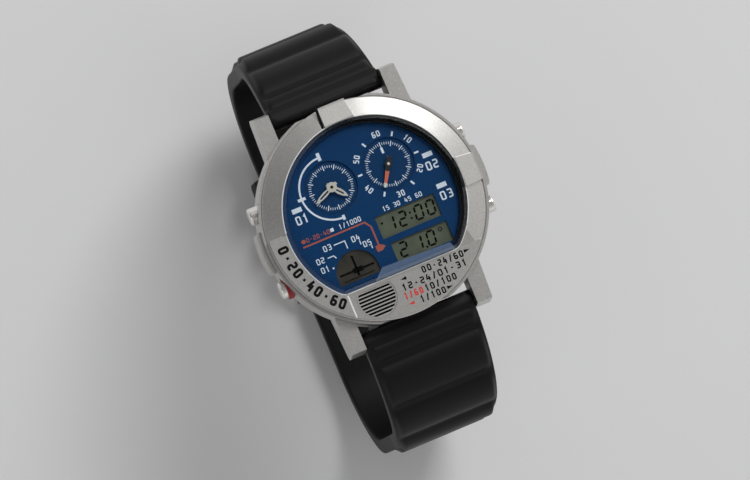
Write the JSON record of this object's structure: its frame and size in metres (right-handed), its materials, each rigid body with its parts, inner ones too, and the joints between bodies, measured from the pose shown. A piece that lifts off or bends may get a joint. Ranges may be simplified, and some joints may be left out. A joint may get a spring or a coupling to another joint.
{
  "type": "wristwatch",
  "caption": "Analogue and digital wristwatch: round metal case, D-shaped glass, small hand dials, push buttons and a ridged rubber strap buckled into a loop.",
  "frame": {"origin": "on the surface that the buckle and the fixed keeper rest on, under the middle of the case", "axes": "+Z points out of the dial, +Y to 12 o'clock and +X to 3 o'clock"},
  "size_m": [0.0338, 0.0611, 0.0539],
  "materials": {
    "case_metal": "bead-blasted satin",
    "polished_metal": "polished",
    "grille_metal": "brushed",
    "back_metal": "brushed",
    "strap_rubber": "moulded, matte",
    "seal_rubber": "matte",
    "red_collar": "gloss",
    "mineral_glass": "polished",
    "dial_blue": "satin",
    "ring_dark": "matte",
    "subdial_blue": "satin",
    "display_green": "satin",
    "display_brown": "satin",
    "hand_silver": "satin",
    "hand_orange": "satin",
    "brass": "turned",
    "steel": "turned",
    "frame_plastic": "moulded",
    "board_green": "solder mask",
    "chip_black": "matte",
    "coil_copper": "enamelled wire",
    "lamp_glass": "clear",
    "ceramic_white": "fired"
  },
  "bodies": {
    "watch": {"mid_case": "case_metal", "bezel": "case_metal", "sensor_grille": "grille_metal", "crystal": "mineral_glass", "glass_gasket": "seal_rubber", "back_cover": "back_metal", "back_gasket": "seal_rubber", "button_collar": "red_collar", "pusher_seals": "seal_rubber", "spring_bars": "steel", "upper_strap": "strap_rubber", "lower_strap": "strap_rubber", "buckle_frame": "polished_metal", "buckle_pin": "steel", "fixed_keeper": "strap_rubber", "dial_ring": "ring_dark", "dial": "dial_blue", "time_subdial": "subdial_blue", "function_subdial": "subdial_blue", "main_lcd": "display_green", "mode_lcd": "display_brown", "module_frame": "frame_plastic", "circuit_board": "board_green", "battery": "steel", "battery_clamp": "steel", "buzzer_disc": "ceramic_white", "buzzer_spring": "steel", "quartz_can": "steel", "display_lamp": "lamp_glass", "display_contacts": "seal_rubber", "driver_chip": "chip_black", "temperature_sensor": "ceramic_white", "motor_coils": "coil_copper", "motor_stators": "steel", "pusher_spring_upper_right": "steel", "pusher_spring_upper_left": "steel", "pusher_spring_lower_right": "steel", "pusher_spring_lower_left": "steel"},
    "minute_hand_body": {"minute_hand": "hand_silver", "minute_arbor": "brass"},
    "hour_hand_body": {"hour_hand": "hand_silver", "hour_wheel": "brass"},
    "motion_work": {"motion_wheel": "brass"},
    "time_reducer_body": {"time_reducer": "brass"},
    "time_rotor_body": {"time_rotor": "steel"},
    "function_hand_body": {"function_hand": "hand_orange", "function_arbor": "brass"},
    "function_reducer_body": {"function_reducer": "brass"},
    "function_rotor_body": {"function_rotor": "steel"},
    "tongue": {"buckle_tongue": "polished_metal"},
    "loose_keeper": {"free_keeper": "strap_rubber"},
    "button_upper_right": {"pusher_upper_right": "polished_metal", "pusher_clip_upper_right": "steel"},
    "button_upper_left": {"pusher_upper_left": "polished_metal", "pusher_clip_upper_left": "steel"},
    "button_lower_right": {"pusher_lower_right": "polished_metal", "pusher_clip_lower_right": "steel"},
    "button_lower_left": {"pusher_lower_left": "polished_metal", "pusher_clip_lower_left": "steel"}
  },
  "joints": [
    {"name": "press_upper_right", "type": "slide", "parent": "watch", "child": "button_upper_right", "axis": [-1, 0, 0], "range_m": [0, 0.0005], "stiffness_N_per_m": 2000, "springref_m": -0.0005, "deforming": ["pusher_spring_upper_right"]},
    {"name": "press_upper_left", "type": "slide", "parent": "watch", "child": "button_upper_left", "axis": [1, 0, 0], "range_m": [0, 0.0005], "stiffness_N_per_m": 2000, "springref_m": -0.0005, "deforming": ["pusher_spring_upper_left"]},
    {"name": "press_lower_right", "type": "slide", "parent": "watch", "child": "button_lower_right", "axis": [-1, 0, 0], "range_m": [0, 0.0005], "stiffness_N_per_m": 2000, "springref_m": -0.0005, "deforming": ["pusher_spring_lower_right"]},
    {"name": "press_lower_left", "type": "slide", "parent": "watch", "child": "button_lower_left", "axis": [1, 0, 0], "range_m": [0, 0.0005], "stiffness_N_per_m": 2000, "springref_m": -0.0005, "deforming": ["pusher_spring_lower_left"]},
    {"name": "minute_turn", "type": "hinge", "parent": "watch", "child": "minute_hand_body", "pos_m": [-0.00435, 0.005, 0.05035], "axis": [0, 0, -1], "continuous": true},
    {"name": "hour_turn", "type": "hinge", "parent": "watch", "child": "hour_hand_body", "pos_m": [-0.00435, 0.005, 0.05035], "axis": [0, 0, -1], "continuous": true},
    {"name": "motion_turn", "type": "hinge", "parent": "watch", "child": "motion_work", "pos_m": [-0.00655, 0.005, 0.05035], "axis": [0, 0, -1], "continuous": true},
    {"name": "time_reducer_turn", "type": "hinge", "parent": "watch", "child": "time_reducer_body", "pos_m": [-0.00435, 0.0029, 0.05035], "axis": [0, 0, -1], "continuous": true},
    {"name": "time_rotor_turn", "type": "hinge", "parent": "watch", "child": "time_rotor_body", "pos_m": [-0.00615, 0.0029, 0.05035], "axis": [0, 0, -1], "continuous": true},
    {"name": "function_turn", "type": "hinge", "parent": "watch", "child": "function_hand_body", "pos_m": [0.00435, 0.005, 0.05035], "axis": [0, 0, -1], "continuous": true},
    {"name": "function_reducer_turn", "type": "hinge", "parent": "watch", "child": "function_reducer_body", "pos_m": [0.00435, 0.0029, 0.05035], "axis": [0, 0, -1], "continuous": true},
    {"name": "function_rotor_turn", "type": "hinge", "parent": "watch", "child": "function_rotor_body", "pos_m": [0.00615, 0.0029, 0.05035], "axis": [0, 0, -1], "continuous": true},
    {"name": "tongue_swing", "type": "hinge", "parent": "watch", "child": "tongue", "pos_m": [0, -0.0005, 0.00525], "axis": [1, 0, 0], "range_deg": [0, 4]},
    {"name": "keeper_slide", "type": "slide", "parent": "watch", "child": "loose_keeper", "axis": [0, 1, 0], "range_m": [-0.002, 0.0015]}
  ],
  "couplings": [
    {"joint": "hour_turn", "follows": "minute_turn", "ratio": 0.083333},
    {"joint": "motion_turn", "follows": "minute_turn", "ratio": -0.33333},
    {"joint": "time_reducer_turn", "follows": "minute_turn", "ratio": -6},
    {"joint": "time_rotor_turn", "follows": "minute_turn", "ratio": 30},
    {"joint": "function_reducer_turn", "follows": "function_turn", "ratio": -6},
    {"joint": "function_rotor_turn", "follows": "function_turn", "ratio": 30}
  ]
}
